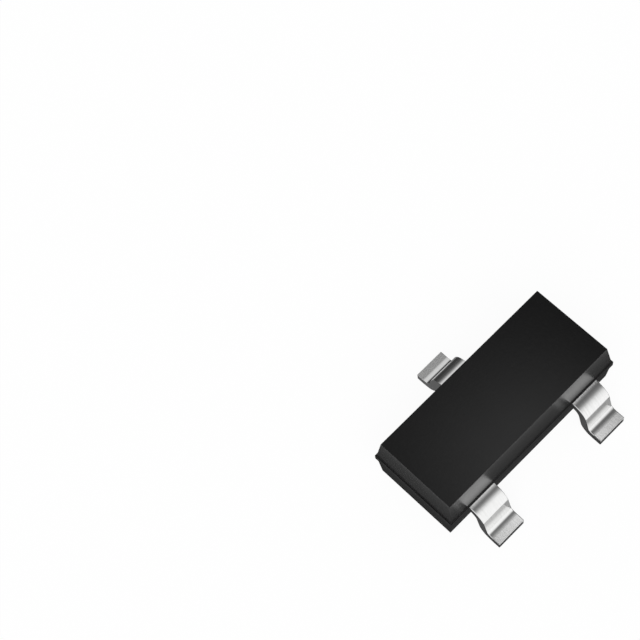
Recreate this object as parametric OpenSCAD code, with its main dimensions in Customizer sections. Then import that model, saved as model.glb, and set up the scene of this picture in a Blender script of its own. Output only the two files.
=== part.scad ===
// Two-line surge protection diode array in a small three-lead moulded package.
// Millimetres. The origin lies on the board, under the centre of the body: X runs along the body,
// the two front leads point to -Y, the back lead points to +Y, and Z is up.

/* [Moulded body] */
// Length of the body over its parting ledge
body_l = 3.01; // [2.8:0.01:3.3]
// Width of the body over its parting ledge
body_w = 1.336; // [1.2:0.002:1.6]
// Height of the top face above the board
body_top = 1.01; // [0.95:0.01:1.2]
// Gap between the board and the underside of the body
standoff = 0.05; // [0.01:0.01:0.1]
// How far the ends of the top face lie inside the ledge
top_end_inset = 0.068; // [0.03:0.001:0.12]
// How far the long edges of the top face lie inside the ledge
top_side_inset = 0.074; // [0.03:0.001:0.12]
// How far the ends of the underside lie inside the ledge
base_end_inset = 0.032; // [0.03:0.001:0.12]
// How far the long edges of the underside lie inside the ledge
base_side_inset = 0.06; // [0.03:0.005:0.12]
// How far the parting ledge stands out from the faces above and below it
ledge_reach = 0.016; // [0.005:0.001:0.03]
// Height of the parting ledge
ledge_h = 0.107; // [0.05:0.001:0.15]
// Height of the ledge's top edge above the upper side of the leads that come out under it
ledge_lip = 0.012; // [0.005:0.001:0.03]

/* [Formed leads] */
// Distance between the centre lines of the two front leads
lead_pitch = 1.9; // [1.8:0.02:2]
// Width of each lead
lead_w = 0.455; // [0.3:0.005:0.5]
// Thickness of the lead frame
frame_t = 0.13; // [0.08:0.01:0.18]
// Height of the lead frame's upper side above the board
frame_top = 0.571; // [0.53:0.001:0.65]
// Inside radius of the bend at the shoulder
shoulder_r = 0.125; // [0.06:0.005:0.15]
// Inside radius of the bend at the heel
heel_r = 0.08; // [0.05:0.005:0.12]
// Steepness of the slope between the two bends, in degrees
slope_angle = 77; // [60:1:85]
// Inside radius of the gentle curve that eases the heel into the flat foot
ease_r = 0.28; // [0.1:0.01:0.4]
// Steepness at which the heel bend passes into that gentle curve, in degrees
ease_angle = 14; // [4:1:24]
// Length of the flat foot from that curve to the toe
foot_l = 0.098; // [0.06:0.001:0.3]

/* [Lead frame inside the body] */
// Length of the neck between the ledge and the bond post or the paddle
neck_l = 0.22; // [0.15:0.01:0.25]
// Width of the bond post at the end of each front lead
post_w = 0.6; // [0.5:0.02:0.66]
// Length of the bond post
post_l = 0.36; // [0.25:0.01:0.45]
// Gap between the bond posts and the sides of the paddle
frame_gap = 0.15; // [0.1:0.01:0.2]
// Length of the paddle under the chip, from its neck towards the front
paddle_run = 0.74; // [0.6:0.02:0.8]
// Corner radius of the stamped posts and paddle
frame_corner_r = 0.05; // [0.01:0.01:0.1]

/* [Chip] */
// Side of the square chip
chip_side = 0.42; // [0.32:0.02:0.5]
// Thickness of the chip
chip_t = 0.14; // [0.1:0.01:0.18]
// Thickness of the adhesive between the paddle and the chip
attach_t = 0.015; // [0.01:0.005:0.03]
// How far the adhesive spreads beyond the chip on every side
attach_spread = 0.02; // [0.01:0.005:0.04]
// Distance between the centres of the two contact pads
pad_pitch = 0.22; // [0.18:0.01:0.26]
// Side of each square contact pad
pad_side = 0.11; // [0.1:0.01:0.12]
// Height of the contact pads above the chip
pad_t = 0.004; // [0.002:0.001:0.01]
// How far the contact pads lie in front of the chip's centre
pad_offset = 0.06; // [0:0.01:0.08]

/* [Bond wires] */
// Diameter of the wire
wire_d = 0.03; // [0.02:0.005:0.04]
// Diameter of the ball on the contact pad
ball_d = 0.08; // [0.06:0.005:0.09]
// Height of the flattened ball
ball_h = 0.03; // [0.02:0.005:0.04]
// Straight rise of the wire above the ball
wire_rise = 0.05; // [0.03:0.005:0.08]
// Radius of the wire's centre line over the top of the loop
loop_r = 0.05; // [0.04:0.005:0.08]
// Radius of the wire's centre line where it comes down to the post
landing_r = 0.08; // [0.05:0.01:0.12]
// Length of the pressed stitch on the bond post
stitch_l = 0.09; // [0.06:0.01:0.12]
// Width of the stitch
stitch_w = 0.06; // [0.05:0.005:0.08]
// Thickness of the stitch at its thin tip
stitch_tip = 0.01; // [0.005:0.001:0.015]
// How far the stitch's thick end stands past the wire above and below
stitch_cheek = 0.002; // [0.001:0.001:0.004]

/* [Hidden] */
$fn = 48;

// Heights of the stack, from the lead frame up
frame_base = frame_top - frame_t;
ledge_top = frame_top + ledge_lip;
ledge_base = ledge_top - ledge_h;
chip_base = frame_top + attach_t;
chip_top = chip_base + chip_t;
pad_top = chip_top + pad_t;

// Formed strip: the bends on its centre line, with how far each drops and reaches from the ledge
shoulder_mid = shoulder_r + frame_t / 2;
heel_mid = heel_r + frame_t / 2;
ease_mid = ease_r + frame_t / 2;
shoulder_drop = shoulder_mid * (1 - cos(slope_angle));
heel_drop = heel_mid * (cos(ease_angle) - cos(slope_angle));
ease_drop = ease_mid * (1 - cos(ease_angle));
// The straight slope between the shoulder and the heel makes up the rest of the height
slope_drop = frame_top - frame_t - shoulder_drop - heel_drop - ease_drop;
slope_l = slope_drop / sin(slope_angle);
shoulder_reach = shoulder_mid * sin(slope_angle);
heel_reach = heel_mid * (sin(slope_angle) - sin(ease_angle));
ease_reach = ease_mid * sin(ease_angle);
foot_start = shoulder_reach + slope_drop / tan(slope_angle) + heel_reach + ease_reach;
// Centre of the heel bend, seen from the centre of the gentle curve
heel_back = (ease_r - heel_r) * sin(ease_angle);
heel_down = (ease_r - heel_r) * cos(ease_angle);

// Plan of the lead frame
paddle_l = lead_pitch - post_w - 2 * frame_gap;
post_y = -body_w / 2 + neck_l + post_l / 2;
chip_y = body_w / 2 - neck_l - paddle_run / 2;
pad_y = chip_y - pad_offset;

// Bond wire: from the ball's axis to the thick end of the stitch, seen in the wire's own upright plane
wire_dx = (lead_pitch - pad_pitch) / 2;
wire_dy = pad_y - post_y;
wire_heading = atan2(wire_dy, wire_dx);
wire_run = norm([wire_dx, wire_dy]) - stitch_l / 2;
stitch_h = wire_d + 2 * stitch_cheek;
rise_top = pad_top + ball_h + wire_rise;
landing_z = frame_top + stitch_h / 2;
// The sloping span is the common tangent of the loop and the landing bend
centres_dx = wire_run - loop_r;
centres_dz = landing_z + landing_r - rise_top;
centres_gap = norm([centres_dx, centres_dz]);
span_angle = asin((loop_r + landing_r) / centres_gap) - atan2(centres_dz, centres_dx);

// Facets of the wire: sides of its section, and steps along each of its bends
wire_sides = 12;
bend_steps = 6;
// How far the round wire runs on inside the stitch
stitch_bite = 0.01;

// Half outline of the body across one axis, for a body of this half width at the ledge
function body_outline(half, top_inset, base_inset) = [
    [half - base_inset, standoff],
    [half - ledge_reach, ledge_base],
    [half, ledge_base],
    [half, ledge_top],
    [half - ledge_reach, ledge_top],
    [half - top_inset, body_top]
];

// The whole closed outline: the right half, then the left half mirrored and in reverse
function closed_outline(points) = concat(
    points,
    [for (i = [len(points) - 1 : -1 : 0]) [-points[i].x, points[i].y]]
);

// Upright prism with the given outline in X and Z, as long as asked in Y
module outline_prism(outline, depth) {
    translate([0, depth / 2, 0])
        rotate([90, 0, 0])
            linear_extrude(depth)
                polygon(outline);
}

// Drafted block with its parting ledge, before the inner pieces leave their hollows in it
module body_block() {
    intersection() {
        outline_prism(closed_outline(body_outline(body_l / 2, top_end_inset, base_end_inset)), body_w);
        rotate([0, 0, 90])
            outline_prism(closed_outline(body_outline(body_w / 2, top_side_inset, base_side_inset)), body_l);
    }
}

// Sector of a bend in the Y and Z plane, between two angles that count from straight up towards +Y
module bend_sector(inner_r, from, to) {
    rotate([0, 90, 0])
        rotate([0, 0, 180 - to])
            rotate_extrude(angle = to - from)
                translate([inner_r, -lead_w / 2])
                    square([frame_t, lead_w]);
}

// Straight stretch of the strip from a point on its centre line along +Y
module straight(length) {
    translate([-lead_w / 2, 0, -frame_t / 2])
        cube([lead_w, length, frame_t]);
}

// Formed part of a lead, from the ledge (y = 0) outwards to its toe
module formed_strip() {
    translate([0, 0, frame_base - shoulder_r])
        bend_sector(shoulder_r, 0, slope_angle);
    translate([0, shoulder_reach, frame_top - frame_t / 2 - shoulder_drop])
        rotate([-slope_angle, 0, 0])
            straight(slope_l);
    translate([0, foot_start, frame_t + ease_r])
        rotate([180, 0, 0]) {
            translate([0, heel_back, heel_down])
                bend_sector(heel_r, ease_angle, slope_angle);
            bend_sector(ease_r, 0, ease_angle);
        }
    translate([0, foot_start, frame_t / 2])
        straight(foot_l);
}

// Flat plate of the lead frame with rounded corners, its back edge at y = 0 and its body towards -Y
module frame_plate(width, length) {
    inner_w = width - 2 * frame_corner_r;
    inner_l = length - 2 * frame_corner_r;
    translate([0, -length / 2, frame_base])
        linear_extrude(frame_t) {
            square([inner_w, length], center = true);
            square([width, inner_l], center = true);
            for (sx = [-1, 1], sy = [-1, 1])
                translate([sx * inner_w / 2, sy * inner_l / 2])
                    circle(frame_corner_r);
        }
}

// Neck between the ledge and whatever the lead carries inside the body
module neck() {
    translate([-lead_w / 2, -neck_l, frame_base])
        cube([lead_w, neck_l, frame_t]);
}

// Front lead with its bond post, in place at side -1 (left) or 1 (right)
module front_lead(side) {
    translate([side * lead_pitch / 2, -body_w / 2, 0])
        rotate([0, 0, 180]) {
            formed_strip();
            neck();
            translate([0, -neck_l, 0])
                frame_plate(post_w, post_l);
        }
}

module lead_1() {
    color("silver") front_lead(-1);
}

module lead_2() {
    color("silver") front_lead(1);
}

// Back lead, which carries the chip on its paddle
module lead_3() {
    color("silver")
        translate([0, body_w / 2, 0]) {
            formed_strip();
            neck();
            translate([0, -neck_l, 0])
                frame_plate(paddle_l, paddle_run);
        }
}

module die_attach() {
    side = chip_side + 2 * attach_spread;
    color("gainsboro")
        translate([-side / 2, chip_y - side / 2, frame_top])
            cube([side, side, attach_t]);
}

// Chip with its two contact pads
module die() {
    color("dimgray") {
        translate([-chip_side / 2, chip_y - chip_side / 2, chip_base])
            cube([chip_side, chip_side, chip_t]);
        for (sx = [-1, 1])
            translate([sx * pad_pitch / 2 - pad_side / 2, pad_y - pad_side / 2, chip_top])
                cube([pad_side, pad_side, pad_t]);
    }
}

// Points on an arc of the wire's centre line, each with the angle of the wire's heading above level
function arc_stops(centre, radius, from, to, side) = [
    for (i = [0 : bend_steps])
        let (heading = from + (to - from) * i / bend_steps)
            [centre.x - side * radius * sin(heading), centre.y + side * radius * cos(heading), heading]
];

// Corner points of the wire's section at one stop
function wire_ring(stop) = [
    for (i = [0 : wire_sides - 1])
        let (across = wire_d / 2 * cos(360 * i / wire_sides), along = wire_d / 2 * sin(360 * i / wire_sides))
            [stop[0] - along * sin(stop[2]), across, stop[1] + along * cos(stop[2])]
];

// Bond wire that starts on the Z axis and runs towards +X
module wire_path() {
    stops = concat(
        [[0, pad_top + ball_h / 2, 90]],
        arc_stops([loop_r, rise_top], loop_r, 90, -span_angle, 1),
        arc_stops([wire_run, landing_z + landing_r], landing_r, -span_angle, 0, -1),
        [[wire_run + stitch_bite, landing_z, 0]]
    );
    last = len(stops) - 1;
    polyhedron(
        points = [for (stop = stops) each wire_ring(stop)],
        faces = concat(
            [[for (i = [0 : wire_sides - 1]) i]],
            [for (k = [0 : last - 1], i = [0 : wire_sides - 1])
                let (a = k * wire_sides + i, b = k * wire_sides + (i + 1) % wire_sides)
                    [a, a + wire_sides, b + wire_sides, b]],
            [[for (i = [wire_sides - 1 : -1 : 0]) last * wire_sides + i]]
        )
    );
    translate([0, 0, pad_top])
        rotate_extrude()
            intersection() {
                translate([0, ball_h / 2])
                    circle(d = ball_d);
                square([ball_d, ball_h]);
            }
    translate([wire_run, stitch_w / 2, frame_top])
        rotate([90, 0, 0])
            linear_extrude(stitch_w)
                polygon([[0, 0], [stitch_l, 0], [stitch_l, stitch_tip], [0, stitch_h]]);
}

// Right-hand wire in place; the left-hand one is its mirror image
module bond_wire() {
    translate([pad_pitch / 2, pad_y, 0])
        rotate([0, 0, -wire_heading])
            wire_path();
}

module bond_wire_1() {
    color("gold")
        mirror([1, 0, 0])
            bond_wire();
}

module bond_wire_2() {
    color("gold") bond_wire();
}

// Moulding, which fills every space round the pieces inside it
module mold_body() {
    color([0.12, 0.12, 0.12])
        difference() {
            body_block();
            front_lead(-1);
            front_lead(1);
            lead_3();
            die_attach();
            die();
            bond_wire_1();
            bond_wire_2();
        }
}

mold_body();
lead_1();
lead_2();
lead_3();
die_attach();
die();
bond_wire_1();
bond_wire_2();
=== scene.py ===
import math

import bmesh
import bpy
from bpy.props import FloatProperty, FloatVectorProperty, IntProperty, PointerProperty
from mathutils import Matrix, Vector
from mathutils.bvhtree import BVHTree


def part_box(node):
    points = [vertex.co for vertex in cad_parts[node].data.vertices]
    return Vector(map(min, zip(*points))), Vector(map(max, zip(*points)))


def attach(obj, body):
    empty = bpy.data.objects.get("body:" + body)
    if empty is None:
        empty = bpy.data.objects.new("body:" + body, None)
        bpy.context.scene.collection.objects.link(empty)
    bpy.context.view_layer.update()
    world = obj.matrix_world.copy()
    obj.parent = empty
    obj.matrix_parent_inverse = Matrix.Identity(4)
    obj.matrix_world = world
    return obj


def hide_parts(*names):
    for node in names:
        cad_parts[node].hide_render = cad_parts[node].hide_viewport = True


bl_info = {
    "name": "Diode array in a three-lead package",
    "version": (1, 0, 0),
    "blender": (4, 5, 0),
    "location": "3D View > Sidebar > Diode Array",
    "description": "Moulded body, formed leads, chip and bond wires of a surface-mount diode array",
    "category": "Object",
}

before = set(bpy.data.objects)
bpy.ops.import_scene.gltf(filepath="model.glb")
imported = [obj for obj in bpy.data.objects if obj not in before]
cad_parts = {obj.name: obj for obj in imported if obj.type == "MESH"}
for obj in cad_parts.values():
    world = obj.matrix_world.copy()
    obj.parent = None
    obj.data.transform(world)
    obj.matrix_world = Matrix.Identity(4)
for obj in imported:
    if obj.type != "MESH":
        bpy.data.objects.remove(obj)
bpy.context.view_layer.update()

MM = 0.001
BODY = "root"


def length(name, text, default):
    """A property that holds a length, in metres."""
    return FloatProperty(
        name=name,
        description=text,
        default=default,
        min=0.0,
        precision=6,
        subtype="DISTANCE",
        unit="LENGTH",
    )


def share(name, text, default):
    """A property that holds a share from 0 to 1."""
    return FloatProperty(
        name=name, description=text, default=default, min=0.0, max=1.0, subtype="FACTOR"
    )


def angle(name, text, degrees):
    """A property that holds an angle, given in degrees."""
    return FloatProperty(
        name=name, description=text, default=math.radians(degrees), subtype="ANGLE", unit="ROTATION"
    )


def colour(name, text, default):
    """A property that holds a colour."""
    return FloatVectorProperty(
        name=name, description=text, default=default, min=0.0, max=1.0, subtype="COLOR"
    )


def number(name, text, default):
    """A property that holds a number without a unit."""
    return FloatProperty(name=name, description=text, default=default, min=0.0)


def count(name, text, default):
    """A property that holds a whole number."""
    return IntProperty(name=name, description=text, default=default, min=1)


class MouldingLook(bpy.types.PropertyGroup):
    """Roundings and finish of the moulded body"""

    edge_round: length("Edge rounding", "Width of the rounding on the moulding's outer edges", 0.000006)
    ledge_round: length("Ledge rounding", "Width of the rounding on the ledge's edges", 0.000003)
    root_round: length("Root rounding", "Width of the fillet between sides and ledge", 0.000004)
    epoxy: colour("Epoxy", "Colour of the moulding compound", (0.0017, 0.0017, 0.0018))
    filler: colour("Filler", "Colour where silica filler shows", (0.0028, 0.0028, 0.0028))
    gloss: share("Roughness", "Roughness of the moulded skin", 0.12)
    polish: share("Side roughness", "Roughness of the upper sides, which the mould polishes", 0.26)
    skin_index: number("Skin index", "Refractive index of the moulded skin", 1.46)
    side_index: number("Side index", "Refractive index of the polished layer on the upper sides", 1.78)
    grain: length("Grain size", "Size of the grain that the mould leaves on the skin", 0.00002)
    grain_depth: length("Grain depth", "Depth of that grain", 0.00000014)
    filler_size: length("Filler size", "Size of the patches where filler shows", 0.00005)
    flow_size: length("Flow mark size", "Size of the patches that are duller or glossier", 0.0005)


class LeadLook(bpy.types.PropertyGroup):
    """Shared sizes and finish of the three leads"""

    strip_width: length("Strip width", "Width of each formed strip", 0.000455)
    strip_thickness: length("Strip thickness", "Thickness of the lead frame", 0.00013)
    shoulder_radius: length("Shoulder radius", "Inside radius of the upper bend", 0.000125)
    heel_radius: length("Heel radius", "Inside radius of the lower bend", 0.00008)
    slope: angle("Slope", "Steepness of the straight stretch between the bends", 77)
    ease_radius: length("Easing radius", "Inside radius of the curve between heel and foot", 0.00028)
    ease: angle("Easing angle", "Turn of that easing curve", 14)
    neck_length: length("Neck length", "Length of the neck from the body's face to the plate", 0.00022)
    corner_radius: length("Plate corner radius", "Corner radius of the stamped plates", 0.00005)
    edge_round: length("Edge rounding", "Width of the rounding on the strip's edges", 0.000009)
    bend_steps: count("Bend steps", "Flat steps along each bend", 36)
    corner_steps: count("Corner steps", "Flat steps round each corner of the plates", 8)
    tin: colour("Tin", "Colour of the plated rolled faces", (0.96, 0.96, 0.955))
    tin_gloss: share("Tin roughness", "Roughness of the plated rolled faces", 0.10)
    # Darker than the tin, partly for the duller sheared finish and partly as painted shade on the
    # leads' sides and toe ends
    cut: colour("Sheared metal", "Colour of the sheared sides and toe ends", (0.85, 0.85, 0.855))
    cut_gloss: share("Sheared roughness", "Roughness of the sheared sides and toe ends", 0.17)
    line_size: length("Rolling line size", "Distance between the rolling lines", 0.000006)
    crystal_size: length("Crystal size", "Size of the crystals of the tin plate", 0.000012)
    crystal_depth: length("Crystal depth", "Depth of the lines and crystals", 0.0000004)
    tear_size: length("Tear size", "Distance between the tear marks on sheared faces", 0.000008)
    tear_depth: length("Tear depth", "Depth of those tear marks", 0.0000006)


class ChipLook(bpy.types.PropertyGroup):
    """Finish of the chip, its adhesive and its wires"""

    silicon: colour("Silicon", "Colour of the chip", (0.045, 0.05, 0.065))
    silicon_gloss: share("Silicon roughness", "Roughness of the chip", 0.22)
    pad: colour("Pad", "Colour of the metal contact pads", (0.80, 0.80, 0.78))
    pad_height: length("Pad height", "Height of the contact pads above the chip's face", 0.000004)
    saw_size: length("Saw mark size", "Distance between the marks of the wafer saw", 0.00001)
    adhesive: colour("Adhesive", "Colour of the silver-filled adhesive", (0.52, 0.52, 0.50))
    adhesive_gloss: share("Adhesive roughness", "Roughness of the adhesive", 0.45)
    flake_size: length("Flake size", "Size of the silver flakes in the adhesive", 0.000006)
    flake_depth: length("Flake depth", "Depth of the relief that the flakes leave", 0.000001)
    gold: colour("Gold", "Colour of the bond wires", (0.95, 0.62, 0.22))
    gold_gloss: share("Gold roughness", "Roughness of the bond wires", 0.26)
    drawing_size: length("Drawing mark size", "Distance between the wires' drawing marks", 0.000004)


class StageLook(bpy.types.PropertyGroup):
    """Camera, floor and lights"""

    azimuth: angle("Azimuth", "Direction of the camera, from the front towards the right", -32.602)
    elevation: angle("Elevation", "Height of the camera above the horizon, as an angle", 65.889)
    roll: angle("Roll", "Turn of the picture about the line of sight", -13.209)
    distance: length("Distance", "Distance from the camera to the object's middle", 0.0221286)
    scale: number("Scale", "Pixels of the picture to a metre at the object's middle", 78150.1)
    picture: count("Picture size", "Side of the square picture, in pixels", 640)
    middle_x: number("Middle X", "Pixel column of the object's middle", 494.606)
    middle_y: number("Middle Y", "Pixel row of the object's middle", 410.622)
    middle_height: length("Middle height", "Height of that middle above the floor", 0.00050425)
    floor: colour("Floor", "Colour of the floor", (0.96, 0.96, 0.96))
    floor_drop: length("Floor drop", "Gap between the leads' feet and the floor", 0.0000005)
    floor_reach: length("Floor reach", "Distance from the middle to the floor's edges", 0.15)
    floor_lift: share("Floor lift", "How far the floor is lifted to white for the camera", 0.94)
    paint_size: length("Paint cloud size", "Size of the faint clouds in the floor's paint", 0.002)
    ambient: share("Ambient", "Level of the soft light from all round", 0.5)
    key: number("Key light", "Strength of the soft key light", 2.0)
    key_spread: angle("Key spread", "Apparent width of the key light", 60)
    lamp: number("Lamp", "Brightness of the overhead lamp in reflections", 3.365)
    # Painted light and shade on the floor in reflections: a painted glint beside each front lead, a
    # painted light round the back lead, and a painted dark stretch behind the object
    glint_aside: length("Glint aside", "Distance from a front lead to the light beside it", 0.0003)
    glint_reach: length("Glint reach", "Half the width of that light on the floor", 0.00008)
    glint_start: length("Glint start", "Distance from the body to where it begins", 0.00038)
    glint_level: share("Glint level", "Brightness of that light in reflections", 0.35)
    rear_level: share("Rear level", "Least brightness of the floor round the back lead", 0.13)
    rear_reach: length("Rear reach", "Distance from the back lead's line that it reaches", 0.00045)
    back_start: length("Back start", "Distance behind the middle where the floor darkens", 0.0011)
    back_end: length("Back end", "Distance behind the middle where the floor is dark", 0.0017)
    back_level: share("Back level", "Brightness of that dark floor in reflections", 0.045)


class DiodeArraySettings(bpy.types.PropertyGroup):
    """All settings of the diode array"""

    moulding: PointerProperty(type=MouldingLook)
    leads: PointerProperty(type=LeadLook)
    chip: PointerProperty(type=ChipLook)
    stage: PointerProperty(type=StageLook)


def socket_of(sockets, key):
    """A node's socket by its place, its identifier or its name."""
    if isinstance(key, int):
        return sockets[key]
    for socket in sockets:
        if socket.identifier == key:
            return socket
    return sockets[key]


class Field:
    """A socket in an expression: arithmetic on it adds the Math nodes."""

    def __init__(self, nodes, socket):
        self.nodes = nodes
        self.socket = socket

    def output(self, key):
        """Another output of the same node."""
        return Field(self.nodes, socket_of(self.socket.node.outputs, key))

    def __add__(self, other):
        return self.nodes.math("ADD", self, other)

    __radd__ = __add__

    def __sub__(self, other):
        return self.nodes.math("SUBTRACT", self, other)

    def __rsub__(self, other):
        return self.nodes.math("SUBTRACT", other, self)

    def __mul__(self, other):
        return self.nodes.math("MULTIPLY", self, other)

    __rmul__ = __mul__

    def __truediv__(self, other):
        return self.nodes.math("DIVIDE", self, other)

    def __lt__(self, other):
        return self.nodes.math("LESS_THAN", self, other)

    def __gt__(self, other):
        return self.nodes.math("GREATER_THAN", self, other)

    def __abs__(self):
        return self.nodes.math("ABSOLUTE", self)


class Nodes:
    """Adds nodes to a tree: their settings first, then the values or links of their sockets."""

    def __init__(self, tree):
        self.tree = tree
        tree.nodes.clear()

    def add(self, kind, settings=None, inputs=None, output=0):
        """A new node's output, or the node itself where it has none."""
        node = self.tree.nodes.new(kind)
        for name, value in (settings or {}).items():
            if name == "stops":
                self.set_stops(node.color_ramp, value)
            elif name == "items":
                while len(node.index_switch_items) < value:
                    node.index_switch_items.new()
            else:
                setattr(node, name, value)
        for key, value in (inputs or {}).items():
            socket = socket_of(node.inputs, key)
            for one in value if isinstance(value, list) else [value]:
                if isinstance(one, Field):
                    self.tree.links.new(one.socket, socket)
                else:
                    socket.default_value = one
        return Field(self, socket_of(node.outputs, output)) if len(node.outputs) else node

    def set_stops(self, ramp, stops):
        """Grey stops of a ramp, from pairs of a position and a level."""
        while len(ramp.elements) < len(stops):
            ramp.elements.new(1.0)
        for element, (position, level) in zip(ramp.elements, stops):
            element.position = position
            element.color = (level, level, level, 1.0)

    def math(self, operation, *values):
        """A Math node on these values."""
        return self.add("ShaderNodeMath", {"operation": operation}, dict(enumerate(values)))

    def ramped(self, value, none, full):
        """0 up to one end of a range and 1 from the other end on, smooth in between."""
        return self.add(
            "ShaderNodeMapRange",
            {"interpolation_type": "SMOOTHSTEP"},
            {"Value": value, "From Min": none, "From Max": full},
        )

    def mixed(self, amount, first, second):
        """A colour between two others."""
        return self.add(
            "ShaderNodeMix",
            {"data_type": "RGBA"},
            {"Factor_Float": amount, "A_Color": first, "B_Color": second},
            "Result_Color",
        )

    def noise(self, place, cell, detail, stretch=(1.0, 1.0, 1.0)):
        """Noise from 0 to 1 with cells of this size, stretched along the axes by these factors."""
        scale = tuple(1.0 / (cell * factor) for factor in stretch)
        mapped = self.add("ShaderNodeMapping", inputs={"Vector": place, "Scale": scale})
        return self.add("ShaderNodeTexNoise", inputs={"Vector": mapped, "Scale": 1.0, "Detail": detail})

    def relief(self, depth, height):
        """The surface's normal over a relief of this depth."""
        return self.add("ShaderNodeBump", inputs={"Strength": 1.0, "Distance": depth, "Height": height})


def opaque(rgb):
    """A colour with full alpha."""
    return (*rgb, 1.0)


def toned(rgb, factor):
    """A colour made darker or paler by a factor, with full alpha."""
    return opaque(min(1.0, factor * level) for level in rgb)


def varied(level, spread, noise):
    """A level that noise moves up and down by half of a spread."""
    return level - spread / 2 + spread * noise


def material_nodes(name):
    """A new material, the adder of nodes for its tree, and the place on the object."""
    material = bpy.data.materials.new(name)
    material.use_nodes = True
    nodes = Nodes(material.node_tree)
    return material, nodes, nodes.add("ShaderNodeTexCoord", output="Object")


def finish_surface(nodes, settings):
    """Closes a material with one Principled shader."""
    shader = nodes.add("ShaderNodeBsdfPrincipled", inputs=settings)
    nodes.add("ShaderNodeOutputMaterial", inputs={"Surface": shader})


# Levels of the noise between which filler begins to show under the skin
FILLER_SHOWS = (0.42, 0.72)

# Upward part of the normals where the upper drafted sides begin, and where they give way to the top
SIDES_BEGIN = (0.03, 0.09)
TOP_BEGINS = (0.3, 0.7)

# Levels of the noise between which the tin goes from its dullest to its clean colour
TIN_CLEARS = (0.3, 0.7)

# Levels of the noise between which bare silver takes over from the adhesive's epoxy
SILVER_SHOWS = (0.35, 0.6)

# Shares of rolling lines and crystals in the tin's colour, and in its relief
LINES_IN_COLOUR, CRYSTALS_IN_COLOUR = 0.6, 0.4
LINES_IN_RELIEF, CRYSTALS_IN_RELIEF = 0.2, 0.7

# Stretch along X, Y and Z of rolling lines, of tear marks and of the wafer saw's marks
LINE_STRETCH = (1.0, 60.0, 60.0)
TEAR_STRETCH = (1.0, 1.0, 5.0)
SAW_STRETCH = (1.0, 1.0, 0.1)

# Brightness of each finish's marks against its own colour
DULLEST_TIN = 0.87
TORN_METAL = 0.75
SAWN_SILICON = 0.6
SUNK_ADHESIVE = 0.55
DRAWN_GOLD = 1.06
CLOUDED_PAINT = 0.97

# How far the roughness of each finish varies over the surface
SKIN_SPREAD = 0.03
TIN_SPREAD = 0.06
CUT_SPREAD = 0.08
SILICON_SPREAD = 0.2
ADHESIVE_SPREAD = 0.2
GOLD_SPREAD = 0.12


def epoxy_material(look):
    """Black moulding compound: silica filler under a skin that carries the mould's fine grain."""
    material, nodes, place = material_nodes("moulding_compound")
    grain = nodes.noise(place, look.grain, detail=3.0)
    filler = nodes.ramped(nodes.noise(place, look.filler_size, detail=4.0), *FILLER_SHOWS)
    flow = nodes.noise(place, look.flow_size, detail=2.0)
    facing = nodes.add("ShaderNodeNewGeometry", output="Normal")
    upward = nodes.add("ShaderNodeSeparateXYZ", inputs={0: facing}, output="Z")
    sides = nodes.ramped(upward, *SIDES_BEGIN) * (1 - nodes.ramped(upward, *TOP_BEGINS))
    skin = varied(look.gloss, SKIN_SPREAD, flow)
    finish_surface(
        nodes,
        {
            "Base Color": nodes.mixed(filler, opaque(look.epoxy), opaque(look.filler)),
            "Roughness": skin + (look.polish - look.gloss) * sides,
            "IOR": look.skin_index,
            "Coat Weight": sides,
            "Coat IOR": look.side_index,
            "Coat Roughness": look.polish,
            "Normal": nodes.relief(look.grain_depth, grain),
        },
    )
    return material


def tin_material(look):
    """Tin plate on the rolled faces: faint rolling lines along the strip and a fine crystal grain."""
    material, nodes, place = material_nodes("tin_plate")
    lines = nodes.noise(place, look.line_size, detail=3.0, stretch=LINE_STRETCH)
    crystals = nodes.noise(place, look.crystal_size, detail=3.0)
    clean = nodes.ramped(LINES_IN_COLOUR * lines + CRYSTALS_IN_COLOUR * crystals, *TIN_CLEARS)
    height = LINES_IN_RELIEF * lines + CRYSTALS_IN_RELIEF * crystals
    finish_surface(
        nodes,
        {
            "Base Color": nodes.mixed(clean, toned(look.tin, DULLEST_TIN), opaque(look.tin)),
            "Metallic": 1.0,
            "Roughness": varied(look.tin_gloss, TIN_SPREAD, crystals),
            "Normal": nodes.relief(look.crystal_depth, height),
        },
    )
    return material


def sheared_material(look):
    """Sheared sides and toe ends: duller, with short tear marks across the thickness, and darker,
    partly for the real sheared finish and partly as painted shade.
    """
    material, nodes, place = material_nodes("sheared_metal")
    tears = nodes.noise(place, look.tear_size, detail=4.0, stretch=TEAR_STRETCH)
    finish_surface(
        nodes,
        {
            # The sheared faces' darker colour is partly painted shade
            "Base Color": nodes.mixed(tears, toned(look.cut, TORN_METAL), opaque(look.cut)),
            "Metallic": 1.0,
            "Roughness": varied(look.cut_gloss, CUT_SPREAD, tears),
            "Normal": nodes.relief(look.tear_depth, tears),
        },
    )
    return material


def silicon_material(look):
    """Polished silicon with saw marks, and metal on the pads that stand above its face."""
    material, nodes, place = material_nodes("silicon")
    height = nodes.add("ShaderNodeSeparateXYZ", inputs={0: place}, output="Z")
    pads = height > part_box("die")[1].z - look.pad_height / 2
    saw = nodes.noise(place, look.saw_size, detail=3.0, stretch=SAW_STRETCH)
    sawn = nodes.mixed(saw, opaque(look.silicon), toned(look.silicon, SAWN_SILICON))
    finish_surface(
        nodes,
        {
            "Base Color": nodes.mixed(pads, sawn, opaque(look.pad)),
            "Metallic": pads,
            "Roughness": varied(look.silicon_gloss, SILICON_SPREAD, saw),
        },
    )
    return material


def adhesive_material(look):
    """Silver flakes in epoxy."""
    material, nodes, place = material_nodes("silver_adhesive")
    flakes = nodes.noise(place, look.flake_size, detail=4.0)
    sunk = toned(look.adhesive, SUNK_ADHESIVE)
    finish_surface(
        nodes,
        {
            "Base Color": nodes.mixed(flakes, sunk, opaque(look.adhesive)),
            "Metallic": nodes.ramped(flakes, *SILVER_SHOWS),
            "Roughness": varied(look.adhesive_gloss, ADHESIVE_SPREAD, flakes),
            "Normal": nodes.relief(look.flake_depth, flakes),
        },
    )
    return material


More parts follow.
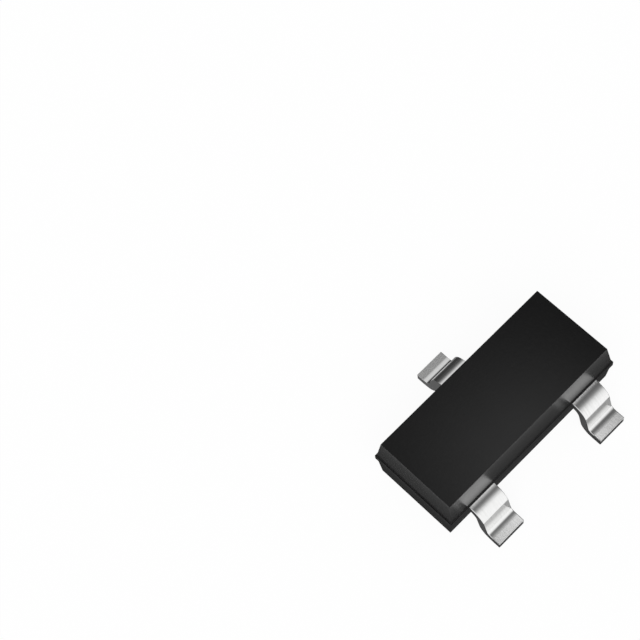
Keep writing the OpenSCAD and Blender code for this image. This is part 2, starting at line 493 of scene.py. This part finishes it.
def gold_material(look):
    """Drawn gold wire."""
    material, nodes, place = material_nodes("gold_wire")
    drawn = nodes.noise(place, look.drawing_size, detail=2.0)
    finish_surface(
        nodes,
        {
            "Base Color": nodes.mixed(drawn, opaque(look.gold), toned(look.gold, DRAWN_GOLD)),
            "Metallic": 1.0,
            "Roughness": varied(look.gold_gloss, GOLD_SPREAD, drawn),
        },
    )
    return material


# Attribute that says how much of the width of the rounding an edge gets
EDGE_WEIGHT = "bevel_weight_edge"

# Flat steps across a rounding
ROUND_STEPS = 3

# Greatest angle between two triangles of the moulding that count as one flat face
FLAT_ANGLE = math.radians(0.3)

# Least angle between two faces of the moulding whose edge is rounded
ROUNDED_ANGLE = math.radians(3)

# Least angle between two faces of the moulding whose edge is sharp in the shading
SHARP_ANGLE = math.radians(20)

# Least outward angle between two faces of a lead whose edge is rounded
STRIP_ANGLE = math.radians(50)

# Greatest upward or downward part of the normal on a lead's sheared faces
SHEARED_LEAN = 0.1

# Distances in millimetres below which two points are one, in the moulding and in a bent path
MOULDING_GAP = 1e-5
PATH_GAP = 1e-4

# Distance in millimetres from a face at which a ray starts that looks out from it
RAY_START = 1e-4

# Distances in millimetres from the ledge's outline within which an edge belongs to the ledge, and
# within which an inner corner is the ledge's root
LEDGE_REACH = 0.0003
ROOT_REACH = 0.03


def bench_object(name, mesh):
    """An object in millimetres that modifiers work on."""
    bench = bpy.data.objects.new(name + "_bench", mesh)
    bpy.context.scene.collection.objects.link(bench)
    return bench


def add_edge_round(bench, width):
    """Rounds the weighted edges on the bench, with flat faces that keep their flat shading."""
    bevel = bench.modifiers.new("edge_round", "BEVEL")
    bevel.width = width / MM
    bevel.segments = ROUND_STEPS
    bevel.limit_method = "WEIGHT"
    bevel.use_clamp_overlap = False
    bevel.harden_normals = True


def take_off_bench(bench, name):
    """A plain piece in metres from what the bench's modifiers make, in place of the bench."""
    graph = bpy.context.evaluated_depsgraph_get()
    mesh = bpy.data.meshes.new_from_object(
        bench.evaluated_get(graph), preserve_all_data_layers=True, depsgraph=graph
    )
    mesh.name = name
    mesh.transform(Matrix.Scale(MM, 4))
    bpy.data.objects.remove(bench)
    piece = bpy.data.objects.new(name, mesh)
    bpy.context.scene.collection.objects.link(piece)
    return piece


def merged_copy(node):
    """A CAD node's mesh in millimetres, with its loose triangles merged into flat faces."""
    mesh = bmesh.new()
    mesh.from_mesh(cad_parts[node].data)
    bmesh.ops.scale(mesh, vec=(1 / MM,) * 3, verts=mesh.verts)
    bmesh.ops.remove_doubles(mesh, verts=mesh.verts, dist=MOULDING_GAP)
    bmesh.ops.dissolve_limit(mesh, angle_limit=FLAT_ANGLE, verts=mesh.verts, edges=mesh.edges)
    mesh.normal_update()
    return mesh


def outer_edges(mesh):
    """Edges of a closed mesh whose two faces turn and both look out into the open."""
    tree = BVHTree.FromBMesh(mesh)
    outer = set()
    for loops in mesh.calc_loop_triangles():
        face = loops[0].face
        middle = sum((loop.vert.co for loop in loops), Vector()) / len(loops)
        if tree.ray_cast(middle + face.normal * RAY_START, face.normal)[0] is None:
            outer.add(face)
    return [
        edge
        for edge in mesh.edges
        if outer.issuperset(edge.link_faces) and edge.calc_face_angle() > ROUNDED_ANGLE
    ]


def weigh_edges(mesh, look, widest):
    """Gives each outer edge of the moulding the share of the widest rounding that it gets."""
    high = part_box("mold_body")[1] / MM
    weight = mesh.edges.layers.float.new(EDGE_WEIGHT)
    for edge in outer_edges(mesh):
        inset = max(min(high.x - abs(end.co.x), high.y - abs(end.co.y)) for end in edge.verts)
        if not edge.is_convex:
            edge[weight] = look.root_round / widest if inset < ROOT_REACH else 0.0
        elif inset < LEDGE_REACH:
            edge[weight] = look.ledge_round / widest
        else:
            edge[weight] = look.edge_round / widest


def make_moulding(look):
    """The moulding with its hollows, from its CAD node, with rounded outer edges."""
    mesh = merged_copy("mold_body")
    widest = max(look.edge_round, look.ledge_round, look.root_round)
    weigh_edges(mesh, look, widest)
    for face in mesh.faces:
        face.smooth = True
    for edge in mesh.edges:
        if edge.calc_face_angle(0.0) > SHARP_ANGLE:
            edge.smooth = False
    made = bpy.data.meshes.new("moulding")
    mesh.to_mesh(made)
    mesh.free()
    made.materials.append(epoxy_material(look))
    bench = bench_object("moulding", made)
    add_edge_round(bench, widest)
    piece = take_off_bench(bench, "epoxy_moulding")
    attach(piece, BODY)
    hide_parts("mold_body")


# Inputs of the lead's geometry tree
PATH_CORNERS = ("Inner end", "Shoulder corner", "Heel corner", "Easing corner", "Toe")
BEND_RADII = ("Shoulder radius", "Heel radius", "Easing radius")
SECTION_SIZES = ("Strip width", "Strip thickness")
PLATE_SIZES = ("Plate width", "Plate length", "Plate corner radius")
LEAD_INPUTS = {
    "NodeSocketVector": PATH_CORNERS + ("Plate middle",),
    "NodeSocketFloat": BEND_RADII + SECTION_SIZES + PLATE_SIZES,
    "NodeSocketInt": ("Bend steps", "Corner steps"),
    "NodeSocketMaterial": ("Rolled faces", "Sheared faces"),
}


def by_index(nodes, kind, index, values, first):
    """A value for each index, with these values from the first index on."""
    items = {1 + first + place: value for place, value in enumerate(values)}
    return nodes.add(
        "GeometryNodeIndexSwitch",
        {"data_type": kind, "items": len(PATH_CORNERS)},
        {"Index": index, **items},
    )


def bent_path(nodes, given):
    """A path through the corners, with a bend at all but its two ends."""
    corners = [given.output(name) for name in PATH_CORNERS]
    radii = [given.output(name) for name in BEND_RADII]
    index = nodes.add("GeometryNodeInputIndex")
    line = nodes.add("GeometryNodeMeshLine", inputs={"Count": len(corners)})
    at_corner = by_index(nodes, "VECTOR", index, corners, 0)
    placed = nodes.add("GeometryNodeSetPosition", inputs={"Geometry": line, "Position": at_corner})
    straight = nodes.add("GeometryNodeMeshToCurve", inputs={0: placed})
    at_bend = by_index(nodes, "FLOAT", index, radii, 1)
    bent = nodes.add(
        "GeometryNodeFilletCurve",
        {"mode": "POLY"},
        {"Curve": straight, "Count": given.output("Bend steps"), "Radius": at_bend},
    )
    points = nodes.add("GeometryNodeCurveToMesh", inputs={"Curve": bent})
    joined = nodes.add("GeometryNodeMergeByDistance", inputs={0: points, "Distance": PATH_GAP})
    return nodes.add("GeometryNodeMeshToCurve", inputs={0: joined})


def rectangle(nodes, width, height):
    """A closed rectangular curve."""
    return nodes.add(
        "GeometryNodeCurvePrimitiveQuadrilateral",
        {"mode": "RECTANGLE"},
        {"Width": width, "Height": height},
    )


def swept(nodes, path, profile):
    """A closed solid with this profile along a path."""
    return nodes.add(
        "GeometryNodeCurveToMesh", inputs={"Curve": path, "Profile Curve": profile, "Fill Caps": True}
    )


def stamped_plate(nodes, given):
    """The plate at the strip's inner end, as thick as the strip and with rounded corners."""
    outline = nodes.add(
        "GeometryNodeFilletCurve",
        {"mode": "POLY"},
        {
            "Curve": rectangle(nodes, given.output("Plate width"), given.output("Plate length")),
            "Count": given.output("Corner steps"),
            "Radius": given.output("Plate corner radius"),
        },
    )
    half = given.output("Strip thickness") / 2
    rise = nodes.add(
        "GeometryNodeCurvePrimitiveLine",
        inputs={
            "Start": nodes.add("ShaderNodeCombineXYZ", inputs={"Z": 0.0 - half}),
            "End": nodes.add("ShaderNodeCombineXYZ", inputs={"Z": half}),
        },
    )
    return nodes.add(
        "GeometryNodeTransform",
        inputs={"Geometry": swept(nodes, rise, outline), "Translation": given.output("Plate middle")},
    )


def lead_tree():
    """Geometry tree of a formed lead: a strip swept along its bent path, joined to its plate."""
    tree = bpy.data.node_groups.new("formed_lead", "GeometryNodeTree")
    for kind, names in LEAD_INPUTS.items():
        for name in names:
            tree.interface.new_socket(name=name, in_out="INPUT", socket_type=kind)
    tree.interface.new_socket(name="Lead", in_out="OUTPUT", socket_type="NodeSocketGeometry")
    nodes = Nodes(tree)
    given = nodes.add("NodeGroupInput")
    section = rectangle(nodes, given.output("Strip width"), given.output("Strip thickness"))
    strip = swept(nodes, bent_path(nodes, given), section)
    lead = nodes.add(
        "GeometryNodeMeshBoolean",
        {"operation": "UNION", "solver": "EXACT"},
        {"Mesh 2": [strip, stamped_plate(nodes, given)]},
    )
    smooth = nodes.add("GeometryNodeSetShadeSmooth", inputs={0: lead})
    real = nodes.add("GeometryNodeRealizeInstances", inputs={0: smooth})
    turn = nodes.add("GeometryNodeInputMeshEdgeAngle", output="Signed Angle")
    weighed = nodes.add(
        "GeometryNodeStoreNamedAttribute",
        {"data_type": "FLOAT", "domain": "EDGE"},
        {"Geometry": real, "Name": EDGE_WEIGHT, "Value": turn > STRIP_ANGLE},
    )
    rolled = nodes.add(
        "GeometryNodeSetMaterial",
        inputs={"Geometry": weighed, "Material": given.output("Rolled faces")},
    )
    facing = nodes.add("GeometryNodeInputNormal")
    upward = nodes.add("ShaderNodeSeparateXYZ", inputs={0: facing}, output="Z")
    sheared = nodes.add(
        "GeometryNodeSetMaterial",
        inputs={
            "Geometry": rolled,
            "Selection": abs(upward) < SHEARED_LEAN,
            "Material": given.output("Sheared faces"),
        },
    )
    nodes.add("NodeGroupOutput", inputs={0: sheared})
    return tree


def lead_sizes(look, node, ledge, outward):
    """Inputs of the lead tree for one lead, in millimetres, from its box and the shared sizes."""
    low, high = (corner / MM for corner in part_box(node))
    thickness = look.strip_thickness / MM
    shoulder = look.shoulder_radius / MM + thickness / 2
    heel = look.heel_radius / MM + thickness / 2
    easing = look.ease_radius / MM + thickness / 2
    neck = look.neck_length / MM
    top = high.z - thickness / 2
    foot = thickness / 2
    toe = high.y if outward > 0 else -low.y
    inner = low.y if outward > 0 else -high.y
    heel_share = heel * math.tan((look.slope - look.ease) / 2)
    easing_share = easing * math.tan(look.ease / 2)
    rise = (heel_share + easing_share) * math.sin(look.ease)
    run = (heel_share + easing_share) * math.cos(look.ease)
    shoulder_corner = ledge + shoulder * math.tan(look.slope / 2)
    heel_corner = shoulder_corner + (top - foot - rise) / math.tan(look.slope)
    middle = (low.x + high.x) / 2
    plate_middle = (ledge - neck + inner) / 2

    def at(along, height):
        return (middle, outward * along, height)

    return {
        "Inner end": at(plate_middle, top),
        "Shoulder corner": at(shoulder_corner, top),
        "Heel corner": at(heel_corner, foot + rise),
        "Easing corner": at(heel_corner + run, foot),
        "Toe": at(toe, foot),
        "Plate middle": at(plate_middle, top),
        "Shoulder radius": shoulder,
        "Heel radius": heel,
        "Easing radius": easing,
        "Strip width": look.strip_width / MM,
        "Strip thickness": thickness,
        "Plate width": high.x - low.x,
        "Plate length": ledge - neck - inner,
        "Plate corner radius": look.corner_radius / MM,
        "Bend steps": look.bend_steps,
        "Corner steps": look.corner_steps,
    }


def bench_with_tree(name, tree, values):
    """A bench whose geometry comes from a tree with these inputs."""
    bench = bench_object(name, bpy.data.meshes.new(name))
    modifier = bench.modifiers.new("form", "NODES")
    modifier.node_group = tree
    for socket in tree.interface.items_tree:
        if socket.in_out == "INPUT":
            modifier[socket.identifier] = values[socket.name]
    return bench


def make_leads(look):
    """The three formed leads, each with its post or paddle inside the body."""
    tree = lead_tree()
    faces = {"Rolled faces": tin_material(look), "Sheared faces": sheared_material(look)}
    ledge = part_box("mold_body")[1].y / MM
    for node, outward in (("lead_1", -1), ("lead_2", -1), ("lead_3", 1)):
        bench = bench_with_tree(node, tree, {**lead_sizes(look, node, ledge, outward), **faces})
        add_edge_round(bench, look.edge_round)
        piece = take_off_bench(bench, "formed_" + node)
        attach(piece, BODY)
        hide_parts(node)


def give_material(node, material):
    """Puts a material on a CAD node's object."""
    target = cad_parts[node]
    target.data.materials.clear()
    target.data.materials.append(material)


def make_chip(look):
    """Finishes of the chip, its adhesive and its two wires, which stay as the CAD nodes."""
    give_material("die", silicon_material(look))
    give_material("die_attach", adhesive_material(look))
    gold = gold_material(look)
    for node in ("bond_wire_1", "bond_wire_2"):
        give_material(node, gold)


# Painted brightness of the floor in reflections, a painted shade near the body that clears further out,
# against the distance in millimetres from the body's outline
FLOOR_LIGHT = (
    (0.0, 0.06), (0.14, 0.095), (0.2, 0.09), (0.3, 0.06), (0.49, 0.055),
    (0.57, 0.08), (0.64, 0.15), (0.69, 0.35), (0.74, 0.8), (0.79, 1.0),
)

# Where the painted lights on the floor begin and where they are full, against their reach: the painted
# glint beside a front lead across and along the lead, and the painted light round the back lead across
# and along it
GLINT_ACROSS = (1.3, 0.7)
GLINT_ALONG = (1.0, 1.2)
REAR_ACROSS = (1.4, 1.0)
REAR_ALONG = (0.0, 0.25)

# Brightness of the studio against the direction of a reflection: in front along the slant of its
# cards, from the horizon up to overhead, and behind from overhead down to the horizon
FRONT_LIGHT = (
    (-1.0, 1.0), (-0.62, 0.99), (-0.55, 0.93), (-0.47, 0.79), (-0.4, 0.7), (-0.31, 0.46),
    (-0.2, 0.28), (-0.1, 0.19), (0.0, 0.16), (0.2, 0.11), (1.0, 0.1),
)
BACK_LIGHT = (
    (-1.0, 0.06), (0.1, 0.067), (0.2, 0.1), (0.28, 0.18), (0.38, 0.5), (0.47, 0.65), (0.67, 0.69),
    (0.73, 0.65), (0.77, 0.53), (0.81, 0.36), (0.87, 0.19), (0.93, 0.08), (1.0, 0.05),
)

# How much the sideways part of a direction counts along the slant of the front cards
CARD_SLANT = 1.2

# Backward parts of a direction between which the cards behind take over from those in front, and
# sideways parts between which the front cards come back at the left
BACK_BEGINS = (0.02, 0.1)
LEFT_BEGINS = (-0.7, -0.85)

# Edges of the overhead lamp: how much the other part of a direction counts, where the lamp begins and
# where it is full
LAMP_FAR = (0.259, 0.356, 0.262)
LAMP_NEAR = (0.0, -0.298, 0.502)
LAMP_RIGHT = (-0.04, 0.327, 0.217)
LAMP_LEFT = (-0.027, 0.1305, 0.3515)

# Direction from the object to the key light
TOWARDS_KEY = (-0.45, -0.5, 0.74)

WHITE = (1.0, 1.0, 1.0, 1.0)

# Width of the camera's sensor in millimetres
SENSOR_WIDTH = 36.0

# Nearest and farthest distance that the camera shows, against its distance from the object
CLIP_NEAR, CLIP_FAR = 0.05, 100.0


def seen_by_camera(nodes):
    """1 for rays from the camera."""
    return nodes.add("ShaderNodeLightPath", output="Is Camera Ray")


def seen_in_gloss(nodes):
    """1 for rays that metal or glass sends out."""
    rays = nodes.add("ShaderNodeLightPath", output="Is Glossy Ray")
    return nodes.math("MAXIMUM", rays, rays.output("Is Transmission Ray"))


def levels_along(nodes, levels, way):
    """Brightness from a list of levels at places along a way."""
    first, last = levels[0][0], levels[-1][0]
    stops = [((place - first) / (last - first), level) for place, level in levels]
    return nodes.add("ShaderNodeValToRGB", {"stops": stops}, {0: (way - first) / (last - first)})


def faded(nodes, value, fade, reach):
    """0 where a light begins and 1 where it is full, at two shares of its reach."""
    begins, full = fade
    return nodes.ramped(value, begins * reach, full * reach)


def lamp_edge(nodes, way, other, edge):
    """1 on the lamp's side of one of its edges and 0 beyond it."""
    slant, begins, full = edge
    return nodes.ramped(way + slant * other, begins, full)


def floor_material(look):
    """Pale floor that looks white to the camera; in reflections it shows painted shade near the body,
    painted glints by the leads and a painted dark stretch behind.
    """
    material, nodes, place = material_nodes("floor")
    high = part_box("mold_body")[1]
    lead_line = sum(corner.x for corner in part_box("lead_2")) / 2
    aside = nodes.add("ShaderNodeSeparateXYZ", inputs={0: place})
    along = aside.output("Y")
    # Painted shade in reflections near the body, by the distance from its outline
    apart = nodes.math("MAXIMUM", abs(aside) - high.x, abs(along) - high.y)
    shade = levels_along(nodes, FLOOR_LIGHT, apart / MM)
    # Painted glints in reflections, beside and before the front leads
    off_glint = abs(abs(aside - look.glint_aside) - lead_line)
    by_lead = faded(nodes, off_glint, GLINT_ACROSS, look.glint_reach)
    in_front = faded(nodes, 0 - along - high.y, GLINT_ALONG, look.glint_start)
    glint = look.glint_level * by_lead * in_front
    # Painted light in reflections round the back lead
    by_rear = faded(nodes, abs(aside), REAR_ACROSS, look.rear_reach)
    in_rear = faded(nodes, along - high.y, REAR_ALONG, look.rear_reach)
    rear = look.rear_level * in_rear * by_rear
    around = nodes.math("MAXIMUM", shade, nodes.math("MAXIMUM", glint, rear))
    # Painted dark stretch of floor in reflections behind the object
    behind = nodes.ramped(along, look.back_start, look.back_end)
    in_gloss = around * (1 - behind) + look.back_level * behind
    camera = seen_by_camera(nodes)
    gloss = seen_in_gloss(nodes)
    glow = nodes.add(
        "ShaderNodeEmission", inputs={"Color": camera + gloss * in_gloss, "Strength": 1.0}
    )
    clouds = nodes.noise(place, look.paint_size, detail=2.0)
    paint = nodes.mixed(clouds, toned(look.floor, CLOUDED_PAINT), opaque(look.floor))
    matt = nodes.add("ShaderNodeBsdfDiffuse", inputs={"Color": paint})
    shown = nodes.add(
        "ShaderNodeMixShader", inputs={"Fac": camera * look.floor_lift + gloss, 1: matt, 2: glow}
    )
    nodes.add("ShaderNodeOutputMaterial", inputs={"Surface": shown})
    material.cycles.emission_sampling = "NONE"
    return material


def make_floor(look):
    """A wide floor just under the leads."""
    reach = look.floor_reach
    mesh = bpy.data.meshes.new("floor")
    flat = ((-reach, -reach), (reach, -reach), (reach, reach), (-reach, reach))
    corners = [(x, y, -look.floor_drop) for x, y in flat]
    mesh.from_pydata(corners, [], [(0, 1, 2, 3)])
    mesh.materials.append(floor_material(look))
    floor = bpy.data.objects.new("floor", mesh)
    bpy.context.scene.collection.objects.link(floor)


def make_world(look):
    """Soft light from all round, with the studio's bright and dark cards for reflections."""
    world = bpy.data.worlds.new("studio")
    world.use_nodes = True
    nodes = Nodes(world.node_tree)
    direction = nodes.add("ShaderNodeTexCoord", output="Generated")
    aside = nodes.add("ShaderNodeSeparateXYZ", inputs={0: direction})
    along = aside.output("Y")
    front = levels_along(nodes, FRONT_LIGHT, along + CARD_SLANT * aside)
    back = levels_along(nodes, BACK_LIGHT, along)
    at_left = nodes.ramped(aside, *LEFT_BEGINS)
    cards = nodes.mixed(nodes.ramped(along, *BACK_BEGINS) * (1 - at_left), front, back)
    far = lamp_edge(nodes, along, aside, LAMP_FAR)
    near = lamp_edge(nodes, along, aside, LAMP_NEAR)
    right = lamp_edge(nodes, aside, along, LAMP_RIGHT)
    left = lamp_edge(nodes, aside, along, LAMP_LEFT)
    cards = nodes.mixed(far * near * right * left, cards, opaque((look.lamp,) * 3))
    plain = nodes.mixed(seen_in_gloss(nodes), opaque((look.ambient,) * 3), cards)
    shown = nodes.mixed(seen_by_camera(nodes), plain, WHITE)
    background = nodes.add("ShaderNodeBackground", inputs={"Color": shown})
    nodes.add("ShaderNodeOutputWorld", inputs={"Surface": background})
    world.cycles.sampling_method = "NONE"
    bpy.context.scene.world = world


def make_camera(look):
    """Camera at the photograph's angle, distance and framing."""
    azimuth, elevation, roll = look.azimuth, look.elevation, look.roll
    back = Vector(
        (
            math.sin(azimuth) * math.cos(elevation),
            -math.cos(azimuth) * math.cos(elevation),
            math.sin(elevation),
        )
    )
    level = Vector((math.cos(azimuth), math.sin(azimuth), 0.0))
    upright = back.cross(level)
    across = level * math.cos(roll) + upright * math.sin(roll)
    upward = upright * math.cos(roll) - level * math.sin(roll)
    focal_pixels = look.scale * look.distance
    half = look.picture / 2
    aside = (look.middle_x - half) / look.scale
    above = (half - look.middle_y) / look.scale
    target = Vector((0.0, 0.0, look.middle_height))
    data = bpy.data.cameras.new("camera")
    data.sensor_width = SENSOR_WIDTH
    data.lens = focal_pixels * SENSOR_WIDTH / look.picture
    data.clip_start = look.distance * CLIP_NEAR
    data.clip_end = look.distance * CLIP_FAR
    camera = bpy.data.objects.new("camera", data)
    turn = Matrix((across, upward, back)).transposed().to_4x4()
    place = target + back * look.distance - across * aside - upward * above
    camera.matrix_world = Matrix.Translation(place) @ turn
    bpy.context.scene.collection.objects.link(camera)
    bpy.context.scene.camera = camera


def make_key_light(look):
    """Broad soft key light from the front left, which the metal doesn't mirror."""
    data = bpy.data.lights.new("key_light", "SUN")
    data.energy = look.key
    data.angle = look.key_spread
    lamp = bpy.data.objects.new("key_light", data)
    lamp.rotation_euler = Vector(TOWARDS_KEY).to_track_quat("Z", "Y").to_euler()
    lamp.visible_glossy = False
    bpy.context.scene.collection.objects.link(lamp)


def make_stage(look):
    """Floor, light, camera and colour view."""
    make_floor(look)
    make_world(look)
    make_key_light(look)
    make_camera(look)
    bpy.context.scene.view_settings.view_transform = "Standard"


class DIODE_OT_moulding(bpy.types.Operator):
    """Make the moulded body"""

    bl_idname = "diode_array.moulding"
    bl_label = "Moulded Body"

    def execute(self, context):
        make_moulding(context.scene.diode_array.moulding)
        return {"FINISHED"}


class DIODE_OT_leads(bpy.types.Operator):
    """Make the three formed leads"""

    bl_idname = "diode_array.leads"
    bl_label = "Formed Leads"

    def execute(self, context):
        make_leads(context.scene.diode_array.leads)
        return {"FINISHED"}


class DIODE_OT_chip(bpy.types.Operator):
    """Finish the chip, its adhesive and its wires"""

    bl_idname = "diode_array.chip"
    bl_label = "Chip and Wires"

    def execute(self, context):
        make_chip(context.scene.diode_array.chip)
        return {"FINISHED"}


class DIODE_OT_stage(bpy.types.Operator):
    """Make the floor, the lights and the camera"""

    bl_idname = "diode_array.stage"
    bl_label = "Stage"

    def execute(self, context):
        make_stage(context.scene.diode_array.stage)
        return {"FINISHED"}


class DIODE_PT_panel(bpy.types.Panel):
    """Lists what makes the diode array, with its sizes and colours"""

    bl_label = "Diode Array"
    bl_idname = "DIODE_PT_panel"
    bl_space_type = "VIEW_3D"
    bl_region_type = "UI"
    bl_category = "Diode Array"

    def draw(self, context):
        settings = context.scene.diode_array
        for operator, group in PIECES:
            box = self.layout.box()
            box.operator(operator)
            looks = getattr(settings, group)
            for name in looks.__annotations__:
                box.prop(looks, name)


# Operators in the order that they run, each with its group of settings
PIECES = (
    ("diode_array.moulding", "moulding"),
    ("diode_array.leads", "leads"),
    ("diode_array.chip", "chip"),
    ("diode_array.stage", "stage"),
)

CLASSES = (
    MouldingLook,
    LeadLook,
    ChipLook,
    StageLook,
    DiodeArraySettings,
    DIODE_OT_moulding,
    DIODE_OT_leads,
    DIODE_OT_chip,
    DIODE_OT_stage,
    DIODE_PT_panel,
)


def register():
    for kind in CLASSES:
        bpy.utils.register_class(kind)
    bpy.types.Scene.diode_array = PointerProperty(type=DiodeArraySettings)


def unregister():
    del bpy.types.Scene.diode_array
    for kind in reversed(CLASSES):
        bpy.utils.unregister_class(kind)


def main():
    register()
    bpy.ops.diode_array.moulding()
    bpy.ops.diode_array.leads()
    bpy.ops.diode_array.chip()
    bpy.ops.diode_array.stage()


if __name__ == "__main__":
    main()
